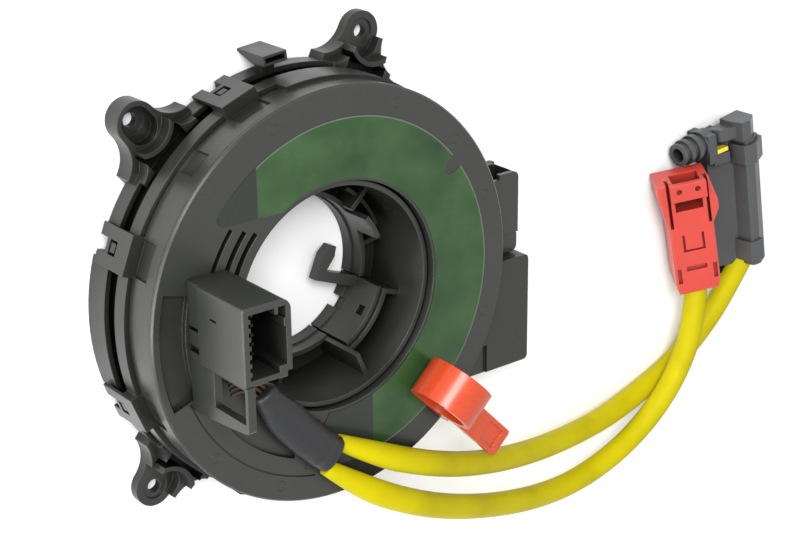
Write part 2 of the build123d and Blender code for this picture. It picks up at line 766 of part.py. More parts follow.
# Label film on the face
key_plane = radial_plane(key_angle, 0)
with BuildPart() as disc_film:
    with BuildSketch(Plane.XY.offset(face_z)) as film_shape:
        with Locations((film_shift, 0)):
            Circle(film_r)
        Circle(film_inner_r, mode=Mode.SUBTRACT)
        with BuildLine():
            Polyline(
                (-2 * disc_r, film_from_y),
                (0, film_from_y),
                (0, 0),
                (-4.0, -film_inner_r),
                (-12.5, -film_r),
                (-5.0, -2 * disc_r),
                (-2 * disc_r, -2 * disc_r),
                close=True,
            )
        make_face(mode=Mode.SUBTRACT)
        fillet(film_shape.vertices().sort_by(Axis.X)[:1], film_tip_r)
        # The soft notch in its outer edge
        with Locations(polar(film_notch_r, film_notch_angle)):
            Ellipse(3.6, 2.0, rotation=film_notch_angle, mode=Mode.SUBTRACT)
        # The key's foot passes its edge
        with Locations(key_plane.from_local_coords(Vector(key_foot_at, key_side, 0))):
            Rectangle(
                key_foot_t + 4 * key_clear,
                key_foot_w + 4 * key_clear,
                rotation=key_angle,
                mode=Mode.SUBTRACT,
            )
    extrude(amount=film_t)
disc_film.part.label = "disc_film"
export_step(disc_film.part, "parts/disc_film.step")

# Locking key: finger ring, tab and foot
key_low = face_z + film_t + key_clear
key_upright = Plane(
    origin=key_plane.from_local_coords(Vector(0, key_side, 0)),
    x_dir=key_plane.x_dir,
    z_dir=key_plane.y_dir * -1,
)
with BuildPart() as lock_key:
    with BuildSketch(key_upright):
        with Locations((key_ring_at, key_low + key_ring_r)):
            Circle(key_ring_r)
        with BuildLine():
            Polyline(
                (key_ring_at, key_low),
                (key_ring_at + key_ring_r + 2.0, key_low),
                (key_ring_at + key_ring_r + 2.0, key_low + key_tab_t + 0.6),
                (key_ring_at + key_ring_r - 1.2, key_low + 5.0),
                (key_ring_at, key_low + 5.0),
                close=True,
            )
        make_face()
        with Locations((key_ring_at, key_low + key_ring_r)):
            Circle(key_ring_r - key_ring_wall, mode=Mode.SUBTRACT)
    extrude(amount=key_ring_w / 2, both=True)
    with BuildSketch(radial_plane(key_angle, key_low)):
        with Locations(((key_ring_at + key_ring_r + key_tab_end) / 2, key_side)):
            RectangleRounded(key_tab_end - key_ring_at - key_ring_r, key_tab_w, 0.8)
    extrude(amount=key_tab_t)
    with BuildSketch(radial_plane(key_angle, key_low + key_tab_t)):
        with Locations((key_tab_end - 5.2, key_side)):
            Rectangle(5.6, key_tab_w - 2.4)
    extrude(amount=-0.5, mode=Mode.SUBTRACT)
    with BuildSketch(radial_plane(key_angle, key_low)):
        with Locations((key_foot_at, key_side)):
            Rectangle(key_foot_t, key_foot_w)
    extrude(amount=-(key_low - face_z + plate_t))
lock_key.part.label = "lock_key"
export_step(lock_key.part, "parts/lock_key.step")

# Inside: the coiled flat cable, its two moulded ends and the sliding liners
coil_low = case_back + floor_t + 1.2
coil_top = face_z - plate_t - 1.2
tape_t = 0.35
coil_in = 3.6
coil_out = 4.3
coil_turns = 5
coil_start = hub_r + coil_in
coil_pitch = (neck_r - wall_t - coil_out - coil_start) / coil_turns
with BuildPart() as flat_cable:
    with BuildSketch(Plane.XY.offset(coil_low)):
        with BuildLine():
            x_in = coil_start
            side = 1
            for half_turn in range(2 * coil_turns):
                x_out = -(abs(x_in) + coil_pitch / 2) * side
                mid = (x_in + x_out) / 2
                rad = abs(x_out - x_in) / 2
                ThreePointArc((x_in, 0), (mid, rad * side), (x_out, 0))
                x_in = x_out
                side = -side
            end_inner = x_in
            Line((end_inner, 0), (end_inner + tape_t * side, 0))
            x_in = end_inner + tape_t * side
            side_back = -side
            for half_turn in range(2 * coil_turns):
                x_out = -(abs(x_in) - coil_pitch / 2) * (1 if x_in > 0 else -1)
                mid = (x_in + x_out) / 2
                rad = abs(x_out - x_in) / 2
                ThreePointArc((x_in, 0), (mid, rad * side_back), (x_out, 0))
                x_in = x_out
                side_back = -side_back
            Line((x_in, 0), (coil_start, 0))
        make_face()
    extrude(amount=coil_top - coil_low)
flat_cable.part.label = "flat_cable"
export_step(flat_cable.part, "parts/flat_cable.step")

with BuildPart() as inner_end:
    with BuildSketch(radial_plane(-12.0, coil_low)):
        with Locations((hub_r + fit_gap + 1.1, 0)):
            Rectangle(2.0, 9.0)
    extrude(amount=coil_top - coil_low)
inner_end.part.label = "inner_end"
export_step(inner_end.part, "parts/inner_end.step")

with BuildPart() as outer_end:
    with BuildSketch(radial_plane(-20.0, coil_low)):
        with Locations((neck_r - wall_t - 1.6, 0)):
            Rectangle(2.0, 9.0)
    extrude(amount=coil_top - coil_low - 3.0)
outer_end.part.label = "outer_end"
export_step(outer_end.part, "parts/outer_end.step")

with BuildPart() as rear_liner:
    with BuildSketch(Plane.XY.offset(case_back + floor_t)):
        Circle(neck_r - wall_t - 0.4)
        Circle(floor_bore_r + 0.2, mode=Mode.SUBTRACT)
    extrude(amount=0.3)
rear_liner.part.label = "rear_liner"
export_step(rear_liner.part, "parts/rear_liner.step")

with BuildPart() as front_liner:
    with BuildSketch(Plane.XY.offset(face_z - plate_t - 0.3)):
        Circle(plate_r - 2 * run_gap)
        Circle(hub_r + 0.2, mode=Mode.SUBTRACT)
    extrude(amount=0.3)
front_liner.part.label = "front_liner"
export_step(front_liner.part, "parts/front_liner.step")

# Leads: the heat-shrunk sleeve, its wires and the two yellow cords
sleeve_start = Vector(-24.5, -14.9, face_z + 3.6)
sleeve_end = Vector(-6.3, -37.0, face_z + 3.6)
sleeve_dir = (sleeve_end - sleeve_start).normalized()
across = Vector(-sleeve_dir.Y, sleeve_dir.X, 0)
with BuildPart() as heat_sleeve:
    with BuildSketch(Plane(origin=sleeve_end, x_dir=across, z_dir=sleeve_dir)):
        SlotOverall(12.6, 6.4)
    with BuildSketch(Plane(origin=sleeve_start, x_dir=across, z_dir=sleeve_dir)):
        SlotOverall(7.0, 5.6)
    loft()
heat_sleeve.part.label = "heat_sleeve"
export_step(heat_sleeve.part, "parts/heat_sleeve.step")

wire_r = 0.35
with BuildPart() as lead_wires:
    for shift in (-1.8, -0.6, 0.6, 1.8):
        first = sleeve_start + across * shift
        with BuildLine(Plane.XY.offset(first.Z)):
            JernArc(
                start=(first.X, first.Y),
                tangent=(-sleeve_dir.X, -sleeve_dir.Y),
                radius=9.0 + shift,
                arc_size=62.0,
            )
        with BuildSketch(Plane(origin=first, x_dir=across, z_dir=sleeve_dir * -1)):
            Circle(wire_r)
        sweep()
lead_wires.part.label = "lead_wires"
export_step(lead_wires.part, "parts/lead_wires.step")

cord_a_points = [
    (-4.2, -34.2, 28.2),
    (7.2, -40.9, 29.4),
    (19.2, -47.0, 28.7),
    (31.3, -52.6, 26.4),
    (43.4, -57.5, 23.1),
    (55.7, -61.7, 19.4),
    (68.1, -65.3, 15.5),
    (80.8, -68.0, 11.8),
    (93.7, -69.6, 8.6),
    (107.0, -69.8, 6.0),
    (120.2, -68.0, 3.7),
    (132.9, -63.6, 3.5),
    (144.1, -56.2, 3.8),
    (152.8, -46.0, 5.1),
    (158.3, -35.0, 6.7),
]
cord_b_points = [
    (-7.9, -39.6, 28.2),
    (2.0, -47.7, 30.1),
    (13.2, -54.7, 30.1),
    (24.6, -61.0, 28.2),
    (36.1, -66.7, 25.1),
    (47.7, -71.9, 21.5),
    (59.5, -76.6, 17.8),
    (71.6, -80.5, 14.4),
    (84.3, -82.9, 11.7),
    (97.3, -82.6, 10.0),
    (109.9, -78.8, 9.6),
    (120.7, -71.3, 10.3),
    (129.0, -61.1, 11.0),
    (134.6, -49.2, 10.9),
    (137.5, -37.1, 8.7),
]


def corner_radii(points):
    """The radius at each inner point: as large as its two runs leave room for."""
    radii = []
    for a, b, c in zip(points, points[1:], points[2:]):
        first = Vector(*b) - Vector(*a)
        second = Vector(*c) - Vector(*b)
        turn = first.get_angle(second)
        radii.append(0.45 * min(first.length, second.length) / tan(radians(turn / 2)))
    return radii


def start_plane(points):
    """The plane across a cord at its first point."""
    return Plane(origin=points[0], z_dir=Vector(*points[1]) - Vector(*points[0]))


for name, points in (("cord_a", cord_a_points), ("cord_b", cord_b_points)):
    radii = corner_radii(points)
    with BuildPart() as cord:
        with BuildLine() as route:
            FilletPolyline(*points, radius=radii)
        with BuildSketch(start_plane(points)):
            Circle(cord_r)
        sweep()
    cord.part.label = name
    export_step(cord.part, f"parts/{name}.step")
    length = sum(edge.length for edge in route.edges())
    print(name, "length", round(length, 1), "radii", [round(r, 1) for r in radii])
    print(name, "volume", round(cord.part.volume), "of", round(3.14159265 * cord_r**2 * length))

# Squib plug of lead B: housing with its flared ears, and the lever that bridges them
orange_at = Vector(*cord_b_points[-1])
orange_angle = 103.0
orange_roll = 33.0
orange_axis = Vector(*polar(1.0, orange_angle), 0)
roll_cos = cos(radians(orange_roll))
orange_side = Vector(orange_axis.Y * roll_cos, -orange_axis.X * roll_cos, sin(radians(orange_roll)))
orange_normal = orange_side.cross(orange_axis)
orange_l = 35.5
orange_w = 12.6
orange_t = 9.0
ear_flare = 1.9
pocket_from = 26.5
pocket_w = 7.8
lever_from = 30.5
orange_plane = Plane(origin=orange_at, x_dir=orange_side, z_dir=orange_normal)
orange_end = Plane(origin=orange_at + orange_axis * orange_l, x_dir=orange_side, z_dir=orange_axis)
with BuildPart() as orange_housing:
    half_w = orange_w / 2
    with BuildSketch(orange_plane.offset(-orange_t / 2)):
        with BuildLine():
            Polyline(
                (-half_w + 0.6, 0),
                (half_w - 0.6, 0),
                (half_w, 3.5),
                (half_w, 21.0),
                (half_w + ear_flare, 25.0),
                (half_w + ear_flare, 28.0),
                (half_w, orange_l),
                (-half_w - ear_flare, orange_l),
                (-half_w - ear_flare, 31.0),
                (-half_w, 21.0),
                (-half_w, 3.5),
                close=True,
            )
        make_face()
    extrude(amount=orange_t)
    chamfer(orange_housing.faces().sort_by(Axis((0, 0, 0), orange_normal))[-1:].edges(), 0.5)
    # Pocket between the ears, and the slots that free the ears
    with BuildSketch(orange_plane.offset(orange_t / 2)):
        with Locations((0, pocket_from)):
            Rectangle(pocket_w, orange_l, align=(Align.CENTER, Align.MIN))
    extrude(amount=-orange_t * 0.6, mode=Mode.SUBTRACT)
    with BuildSketch(orange_plane.offset(orange_t / 2)):
        with Locations((-half_w + 0.9, 21.5), (half_w - 0.9, 21.5)):
            Rectangle(0.9, orange_l, align=(Align.CENTER, Align.MIN))
    extrude(amount=-orange_t / 3, mode=Mode.SUBTRACT)
    # Latch outline, the cross slot and the two side slots
    with BuildSketch(orange_plane.offset(orange_t / 2)):
        with Locations((0, 16.2)):
            Rectangle(6.2, 5.4)
            with Locations((0, 0.6)):
                Rectangle(4.8, 5.4, mode=Mode.SUBTRACT)
        with Locations((0, 8.0)):
            Rectangle(5.8, 1.5)
        with Locations((-half_w + 1.2, 6.0), (half_w - 1.2, 6.0)):
            Rectangle(1.1, 4.8)
    extrude(amount=-plug_wall_t, mode=Mode.SUBTRACT)
orange_housing.part.label = "orange_housing"
export_step(orange_housing.part, "parts/orange_housing.step")

with BuildPart() as orange_latch:
    with BuildSketch(orange_plane.offset(orange_t / 2)):
        with Locations((0, lever_from)):
            Rectangle(pocket_w + 2 * plug_wall_t, orange_l - lever_from, align=(Align.CENTER, Align.MIN))
        with Locations((-2.6, lever_from + 3.0), (2.6, lever_from + 3.0)):
            Circle(0.8, mode=Mode.SUBTRACT)
    extrude(amount=1.8)
    # The lever's tail slopes down into the pocket
    with BuildSketch(orange_plane.offset(orange_t / 2)):
        with Locations((0, lever_from)):
            Rectangle(pocket_w - 4 * run_gap, 1.2, align=(Align.CENTER, Align.MIN))
    extrude(amount=-orange_t / 3)
orange_latch.part.label = "orange_latch"
export_step(orange_latch.part, "parts/orange_latch.step")

# Plug of lead A: housing with its head and nose, collar and yellow lock
black_at = Vector(*cord_a_points[-1])
black_angle = 100.0
black_axis = Vector(*polar(1.0, black_angle), 0)
black_side = Vector(black_axis.Y, -black_axis.X, 0)
black_l = 39.5
head_l = 5.8
collar_from = 32.5
collar_l = 6.0
black_low = 0.4
black_section = [
    (-8.5, black_low),
    (-8.5, 4.4),
    (-1.9, 8.0),
    (-1.2, 12.4),
    (-0.4, 13.0),
    (1.4, 13.2),
    (5.0, 11.5),
    (5.0, black_low),
]
nose_rings = [(8.0, 3.9), (11.5, 3.2), (13.0, 3.9), (14.6, 3.1), (16.2, 3.7), (17.6, 3.0), (18.8, 3.3), (19.6, 0)]
nose_at = 40.4
nose_z = 4.5


def black_plane(along):
    """The plane across the black plug at a distance along its axis, with y upward."""
    origin = Vector(black_at.X, black_at.Y, 0) + black_axis * along
    return Plane(origin=origin, x_dir=black_side, z_dir=black_axis * -1)


with BuildPart() as black_housing:
    with BuildSketch(black_plane(0)):
        with BuildLine():
            Polyline(*black_section, close=True)
        make_face()
    extrude(amount=-black_l)
    # Head block on the high side, the boxes round the lock and the step near the cable
    blocks = [
        (black_l, head_l, [(-2.8, 7.4), (-2.0, 12.7), (1.0, 13.0), (4.2, 11.0), (4.2, 5.0), (-2.8, 5.0)]),
        (1.5, 6.5, [(-2.9, 7.0), (-2.2, 13.1), (-0.4, 13.8), (2.0, 13.9), (2.0, 7.0)]),
        (33.4, 3.2, [(-8.5, 3.0), (-8.5, 7.4), (-3.6, 8.9), (-3.6, 3.0)]),
        (35.0, 8.6, [(-11.2, black_low), (-11.2, 8.4), (-8.3, 8.6), (-8.3, black_low)]),
        (40.4, 3.6, [(-8.4, 5.0), (-6.4, 8.8), (-2.0, 10.5), (-2.0, 5.0)]),
        (black_l - 1.0, 3.4, [(-8.5, black_low), (-8.5, 5.0), (-2.0, 7.4), (-2.0, black_low)]),
    ]
    for start, depth, outline in blocks:
        with BuildSketch(black_plane(start)):
            with BuildLine():
                Polyline(*outline, close=True)
            make_face()
        extrude(amount=-depth)
    # Tongue under the lead
    with BuildSketch(black_plane(-4.5)):
        with Locations((-5.0, black_low)):
            Rectangle(6.6, 2.0, align=(Align.MIN, Align.MIN))
    extrude(amount=-6.0)
    # Turned nose with its sealing rings
    nose_origin = Vector(black_at.X, black_at.Y, nose_z) + black_axis * nose_at
    with BuildSketch(Plane(origin=nose_origin, x_dir=black_side * -1, z_dir=(0, 0, 1))):
        with BuildLine():
            outline = [(nose_rings[0][0], 0)]
            for (out, ring), (next_out, next_ring) in zip(nose_rings, nose_rings[1:]):
                outline = outline + [(out, ring), (next_out, ring)]
            Polyline(*outline, nose_rings[-1], close=True)
        make_face()
    revolve(axis=Axis(nose_origin, black_side))
    with BuildSketch(Plane(origin=nose_origin - black_side * nose_rings[-1][0], x_dir=black_axis, z_dir=black_side)):
        Circle(2.0)
    extrude(amount=8.0, mode=Mode.SUBTRACT)
black_housing.part.label = "black_housing"
export_step(black_housing.part, "parts/black_housing.step")

with BuildPart() as black_collar:
    with BuildSketch(black_plane(collar_from)):
        with BuildLine():
            Polyline(
                (-2.9, 6.6),
                (-2.3, 13.2),
                (-0.5, 14.0),
                (1.6, 14.2),
                (6.0, 12.2),
                (6.0, 4.0),
                (-2.9, 4.0),
                close=True,
            )
        make_face()
        with BuildLine():
            Polyline(*black_section, close=True)
        make_face(mode=Mode.SUBTRACT)
    extrude(amount=-collar_l)
black_collar.part.label = "black_collar"
export_step(black_collar.part, "parts/black_collar.step")

with BuildPart() as yellow_lock:
    with BuildSketch(black_plane(37.0)):
        with BuildLine():
            Polyline((-7.8, 3.0), (-7.8, 8.2), (-4.0, 8.7), (-4.0, 3.0), close=True)
        make_face()
        with BuildLine():
            Polyline(*black_section, close=True)
        make_face(mode=Mode.SUBTRACT)
    extrude(amount=-1.2)
yellow_lock.part.label = "yellow_lock"
export_step(yellow_lock.part, "parts/yellow_lock.step")
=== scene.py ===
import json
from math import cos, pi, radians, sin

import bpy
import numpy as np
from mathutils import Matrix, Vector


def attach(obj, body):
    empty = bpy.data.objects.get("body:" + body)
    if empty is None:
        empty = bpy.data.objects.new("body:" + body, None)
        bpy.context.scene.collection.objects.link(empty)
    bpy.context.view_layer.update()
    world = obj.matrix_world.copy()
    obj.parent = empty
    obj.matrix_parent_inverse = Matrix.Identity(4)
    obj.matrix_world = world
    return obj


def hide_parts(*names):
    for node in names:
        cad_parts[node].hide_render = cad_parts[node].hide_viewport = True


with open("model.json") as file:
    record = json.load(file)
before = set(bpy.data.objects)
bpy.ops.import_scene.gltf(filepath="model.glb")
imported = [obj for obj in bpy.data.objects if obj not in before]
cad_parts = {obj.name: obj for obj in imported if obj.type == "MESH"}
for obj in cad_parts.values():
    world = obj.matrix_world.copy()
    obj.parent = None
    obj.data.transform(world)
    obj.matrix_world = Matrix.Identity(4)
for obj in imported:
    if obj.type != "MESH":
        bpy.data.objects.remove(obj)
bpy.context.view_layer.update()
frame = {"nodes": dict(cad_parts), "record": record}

# %% [markdown]
# # A steering clock spring, drawn from its own measurements
#
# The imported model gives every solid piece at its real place. This lesson adds the camera that
# the photograph was taken with, the two soft leads, the grey sleeve over their start, the small
# marks that moulding leaves, and a material for each piece.
#
# Blender works in metres, but a part of this size is easier to read in millimetres. So the
# camera's place and the new pieces are written in millimetres, and MM or mm() turns them into
# metres. The stage and the patterns of the materials are in metres as they stand. The origin is
# on the spin axis in the plane of the ears' backs, and +Z points out of the rotor's face.

MM = 0.001


def mm(*values):
    """Millimetres to metres."""
    return tuple(v * MM for v in values)


print("pieces from the packed model:", len(frame["nodes"]))

# %% [markdown]
# ## The camera
#
# A pinhole camera was fitted to the rims of the disc and of the bore, two circles whose
# projections are ellipses. The fit gives where the lens stood and the three directions of the
# picture in the object's own frame: right, up and forward. The lens is 1850 pixels long on a
# picture 800 pixels wide, which on a 36 mm sensor is 36 * 1850 / 800 = 83 mm.

# %% The camera
VIEW_RIGHT = Vector((0.78412, -0.01113, 0.62051))
VIEW_UP = Vector((0.23406, 0.93131, -0.27907))
VIEW_FORWARD = Vector((0.57478, -0.36406, -0.73286))
EYE = Vector(mm(-231.02, 160.58, 341.65))
LENS_PIXELS = 1850.0
PICTURE_PIXELS = 800.0
SENSOR_WIDTH = 36.0

camera_data = bpy.data.cameras.new("photo_camera")
camera_data.sensor_width = SENSOR_WIDTH
camera_data.lens = SENSOR_WIDTH * LENS_PIXELS / PICTURE_PIXELS
camera_data.clip_start = 0.01
camera_data.clip_end = 20.0
camera = bpy.data.objects.new("photo_camera", camera_data)
bpy.context.scene.collection.objects.link(camera)
turn = Matrix((VIEW_RIGHT, VIEW_UP, -VIEW_FORWARD)).transposed().to_4x4()
camera.matrix_world = Matrix.Translation(EYE) @ turn
bpy.context.scene.camera = camera
print("camera lens", round(camera_data.lens, 1), "mm, distance", round(EYE.length / MM), "mm")

# %% [markdown]
# ## The leads
#
# Each lead leaves the grey shrunk sleeve on the rotor's face, clears the rim and the key, and
# comes down to the surface that the part lies on. It could be a tube swept along straight
# pieces; a NURBS spline with the route's points as its control points is as smooth as the real
# lead, and stays easy to move. The sleeve squeezes the first few millimetres of each lead, so
# the first point has a smaller radius than the others.

# %% The routes of the two leads
LEAD_A = [
    (-4.2, -34.2, 28.2),
    (7.2, -40.9, 29.4),
    (19.2, -47.0, 28.7),
    (31.3, -52.6, 26.4),
    (43.4, -57.5, 23.1),
    (55.7, -61.7, 19.4),
    (68.1, -65.3, 15.5),
    (80.8, -68.0, 11.8),
    (93.7, -69.6, 8.6),
    (107.0, -69.8, 6.0),
    (120.2, -68.0, 3.7),
    (132.9, -63.6, 3.5),
    (144.1, -56.2, 3.8),
    (152.8, -46.0, 5.1),
    (158.3, -35.0, 6.7),
]
LEAD_B = [
    (-7.9, -39.6, 28.2),
    (2.0, -47.7, 30.1),
    (13.2, -54.7, 30.1),
    (24.6, -61.0, 28.2),
    (36.1, -66.7, 25.1),
    (47.7, -71.9, 21.5),
    (59.5, -76.6, 17.8),
    (71.6, -80.5, 14.4),
    (84.3, -82.9, 11.7),
    (97.3, -82.6, 10.0),
    (109.9, -78.8, 9.6),
    (120.7, -71.3, 10.3),
    (129.0, -61.1, 11.0),
    (134.6, -49.2, 10.9),
    (137.5, -37.1, 8.7),
]
LEAD_R = 3.2
SQUEEZED_R = 1.9
print("routes of", len(LEAD_A), "and", len(LEAD_B), "points, leads", 2 * LEAD_R, "mm thick")


# %% The leads as round tubes on smooth routes
def smooth_route(name, points):
    """A NURBS curve of order 3 whose control points are the route's points. The radius of each
    point is the radius of the lead there, in metres."""
    curve = bpy.data.curves.new(name, "CURVE")
    curve.dimensions = "3D"
    spline = curve.splines.new("NURBS")
    spline.points.add(len(points) - 1)
    for point, place in zip(spline.points, points):
        point.co = (*mm(*place), 1.0)
        point.radius = LEAD_R * MM
    spline.points[0].radius = SQUEEZED_R * MM
    spline.order_u = 3
    spline.use_endpoint_u = True
    spline.resolution_u = 16
    return curve


def lead(name, points, node):
    """A round tube along the route. Its bevel depth is one, so that the radius of each point
    is used as it is."""
    curve = smooth_route(name, points)
    curve.bevel_depth = 1.0
    curve.bevel_resolution = 8
    curve.use_fill_caps = True
    piece = bpy.data.objects.new(name, curve)
    bpy.context.scene.collection.objects.link(piece)
    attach(piece, "rotor")
    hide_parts(node)
    print(name, "stands for", node)
    return piece


lead_a = lead("soft_lead_a", LEAD_A, "cord_a")
lead_b = lead("soft_lead_b", LEAD_B, "cord_b")

# %% [markdown]
# ## Surfaces from arrays
#
# Every small new piece is a surface: a function of two parameters worked out on a whole grid at
# once. One helper turns such a grid into a mesh, so that each piece only needs its own formula.


# %% A grid of points made into a mesh
def grid_piece(name, points, close_u, close_v, body):
    """points[u, v] is the surface at row u and column v, in millimetres. Each cell of the grid
    is one face, and a closed direction has one more face, from its last points to its first."""
    rows, columns, _ = points.shape
    u = np.arange(rows if close_u else rows - 1)
    v = np.arange(columns if close_v else columns - 1)
    a, b = [part.ravel() for part in np.meshgrid(u, v, indexing="ij")]
    c, d = (a + 1) % rows, (b + 1) % columns
    faces = np.stack([a * columns + b, c * columns + b, c * columns + d, a * columns + d], axis=1)
    mesh = bpy.data.meshes.new(name)
    mesh.from_pydata((points.reshape(-1, 3) * MM).tolist(), [], faces.tolist())
    mesh.polygons.foreach_set("use_smooth", np.ones(len(faces), dtype=bool))
    mesh.update()
    piece = bpy.data.objects.new(name, mesh)
    bpy.context.scene.collection.objects.link(piece)
    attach(piece, body)
    print(name, len(faces), "faces")
    return piece


# %% [markdown]
# ## The heat shrunk sleeve
#
# Grey tubing is shrunk over both leads where they leave the rotor. It bends a little on its way
# and the heat leaves shallow ripples across it. It could be a deformed cylinder; here it is a
# flattened ellipse carried along a bent line, with the ripples added to its size.

# %% The sleeve's bent line and its sizes
SLEEVE_START = np.array([-24.5, -14.9, 28.3])
SLEEVE_BEND = np.array([-19.4, -24.6, 28.3])
SLEEVE_END = np.array([-5.9, -37.0, 28.3])
HALF_W_AT_WIRES = 2.9
HALF_H_AT_WIRES = 2.5
MORE_W_AT_LEADS = 1.75
MORE_H_AT_LEADS = 0.60
SLEEVE_ROWS = 97
SLEEVE_COLUMNS = 64


def bent_line(start, bend, end, t):
    """Places and directions on a quadratic curve: the weights of the three points are
    (1 - t) squared, 2 t (1 - t) and t squared."""
    t = t[:, None]
    places = (1 - t) ** 2 * start + 2 * t * (1 - t) * bend + t ** 2 * end
    ways = 2 * (1 - t) * (bend - start) + 2 * t * (end - bend)
    return places, ways / np.linalg.norm(ways, axis=1, keepdims=True)


print("sleeve from", SLEEVE_START, "to", SLEEVE_END)


# %% The sleeve as an ellipse carried along that line
def end_sizes(t):
    """How much of the full size is left at t. The lip at the leads' end and the tip at the
    wires' end each close along a quarter of an ellipse."""
    lip_length, lip_closes, tip_length, tip_closes = 0.03, 0.14, 0.06, 0.45
    past_lip = np.clip((t - (1 - lip_length)) / lip_length, 0, 1)
    before_tip = 1 - np.clip(t / tip_length, 0, 1)
    lip = (1 - lip_closes) + lip_closes * np.sqrt(1 - past_lip ** 2)
    tip = (1 - tip_closes) + tip_closes * np.sqrt(1 - before_tip ** 2)
    return lip * tip


def shrunk_sleeve():
    """The half width and half height of the ellipse grow from the wires' end to the leads' end
    along an S curve. Ripples are sines of the place along the sleeve. A dip in the middle of
    both flat sides lies between the two leads."""
    widens_at, widens_rate, dip, dip_width, flatness = 0.25, 14, 0.13, 0.34, 0.85
    t = np.linspace(0.0, 1.0, SLEEVE_ROWS)
    middle, along = bent_line(SLEEVE_START, SLEEVE_BEND, SLEEVE_END, t)
    across = np.stack([-along[:, 1], along[:, 0], 0 * t], axis=1)[:, None, :]
    upward = np.array([0.0, 0.0, 1.0])
    spread = 1 / (1 + np.exp(-(t - widens_at) * widens_rate))
    half_w = (HALF_W_AT_WIRES + MORE_W_AT_LEADS * spread) * end_sizes(t)
    half_h = (HALF_H_AT_WIRES + MORE_H_AT_LEADS * spread) * end_sizes(t)
    ripple = 0.05 * np.sin(31 * t + 2.5 * np.sin(7 * t)) + 0.03 * np.sin(71 * t + 1.3)
    angle = np.linspace(0, 2 * pi, SLEEVE_COLUMNS, endpoint=False)
    side, rise = np.cos(angle), np.sin(angle)
    waist = 1 - dip * np.outer(spread, np.exp(-(side / dip_width) ** 2))
    swell = 1 + 0.25 * np.outer(ripple, 1 + 0.5 * np.cos(3 * angle))
    wide = half_w[:, None] * side * swell
    tall = half_h[:, None] * np.sign(rise) * np.abs(rise) ** flatness * waist * swell
    points = middle[:, None, :] + wide[..., None] * across + tall[..., None] * upward
    first, last = [np.repeat(points[k].mean(axis=0)[None, None], SLEEVE_COLUMNS, axis=1)
                   for k in (0, -1)]
    return np.concatenate([first, points, last])


sleeve = grid_piece("shrunk_sleeve", shrunk_sleeve(), False, True, "rotor")
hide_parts("heat_sleeve")

# %% [markdown]
# ## Ejector marks
#
# The pins that push a moulding out of its tool leave small round witness rings on it. They
# could be bump in the material; here each is a low ring that stands out by half a tenth of a
# millimetre, a circle carried round a circle, so that it is there in the mesh too.

# %% Rings left by the ejector pins
MARK_ANGLES = [19, 42, 68, 111, 220, 247, 291, 341]
MARK_PLACE_R = 46.3
MARK_RING_R = 1.2
MARK_WIRE_R = 0.09
FACE_Z = 24.7


def ejector_ring(centre, ring_r, wire_r):
    """A circle of radius wire_r, flattened to half its height, is carried round a circle of
    radius ring_r, half sunk in the face."""
    big = np.linspace(0, 2 * pi, 40, endpoint=False)[:, None]
    small = np.linspace(0, 2 * pi, 8, endpoint=False)[None, :]
    reach = ring_r + wire_r * np.cos(small)
    x = centre[0] + reach * np.cos(big)
    y = centre[1] + reach * np.sin(big)
    z = centre[2] + wire_r * 0.5 * np.sin(small) + 0 * big
    return np.stack([x, y, z], axis=2)


rings = []
for number, angle in enumerate(MARK_ANGLES):
    place = (MARK_PLACE_R * cos(radians(angle)), MARK_PLACE_R * sin(radians(angle)), FACE_Z)
    surface = ejector_ring(place, MARK_RING_R, MARK_WIRE_R)
    ring = grid_piece("ejector_ring_%d" % number, surface, True, True, "rotor")
    rings.append(ring)

# %% [markdown]
# ## Nodes in a few words
#
# Every finish below is a small tree of shader nodes. The same few steps return in all of them:
# make a node, set or link its inputs, add a noise, turn one range of values into another and
# blend two colours. Written out each time they would hide what a finish is about, so each step
# is a short function that returns the output to go on with.


# %% Add a node and set its inputs
def set_inputs(tree, node, values):
    """Each value goes to the input of that name or number. The output of another node is
    linked, and a number, a colour or a vector is set on the input itself."""
    for key, value in values.items():
        if isinstance(value, bpy.types.NodeSocket):
            tree.links.new(value, node.inputs[key])
        else:
            node.inputs[key].default_value = value


def add_node(tree, kind, values, **options):
    """A new node of one kind. Its options, such as the operation, come first, because they
    decide which inputs it has."""
    node = tree.nodes.new(kind)
    for option, choice in options.items():
        setattr(node, option, choice)
    set_inputs(tree, node, values)
    return node


def new_material(name):
    """A material, its node tree and its shader."""
    material = bpy.data.materials.new(name)
    material.use_nodes = True
    return material, material.node_tree, material.node_tree.nodes["Principled BSDF"]


def object_place(tree):
    """The place on the object, in metres in the part's own frame, that patterns read."""
    return add_node(tree, "ShaderNodeTexCoord", {}).outputs["Object"]


# %% Noise, ranges, arithmetic and colours
def noise(tree, place, scale, detail=2.0):
    """Clouds with values from 0 to 1. With a place in metres, about scale of them fit in one
    metre."""
    values = {"Vector": place, "Scale": scale, "Detail": detail}
    return add_node(tree, "ShaderNodeTexNoise", values).outputs["Fac"]


def ramp(tree, value, low, high, at_low=0.0, at_high=1.0):
    """A straight line from at_low, where the value is low, to at_high, where it is high. It is
    level on both sides."""
    values = {"Value": value, "From Min": low, "From Max": high, "To Min": at_low,
              "To Max": at_high}
    return add_node(tree, "ShaderNodeMapRange", values).outputs["Result"]


def calculate(tree, operation, *terms):
    """One step of arithmetic on one or two terms."""
    node = add_node(tree, "ShaderNodeMath", dict(enumerate(terms)), operation=operation)
    return node.outputs["Value"]


def blend(tree, factor, a, b):
    """Colour a where the factor is 0, colour b where it is 1, and a mix between them."""
    node = add_node(tree, "ShaderNodeMix", {"Factor": factor, "A": a, "B": b}, data_type="RGBA")
    return node.outputs["Result"]


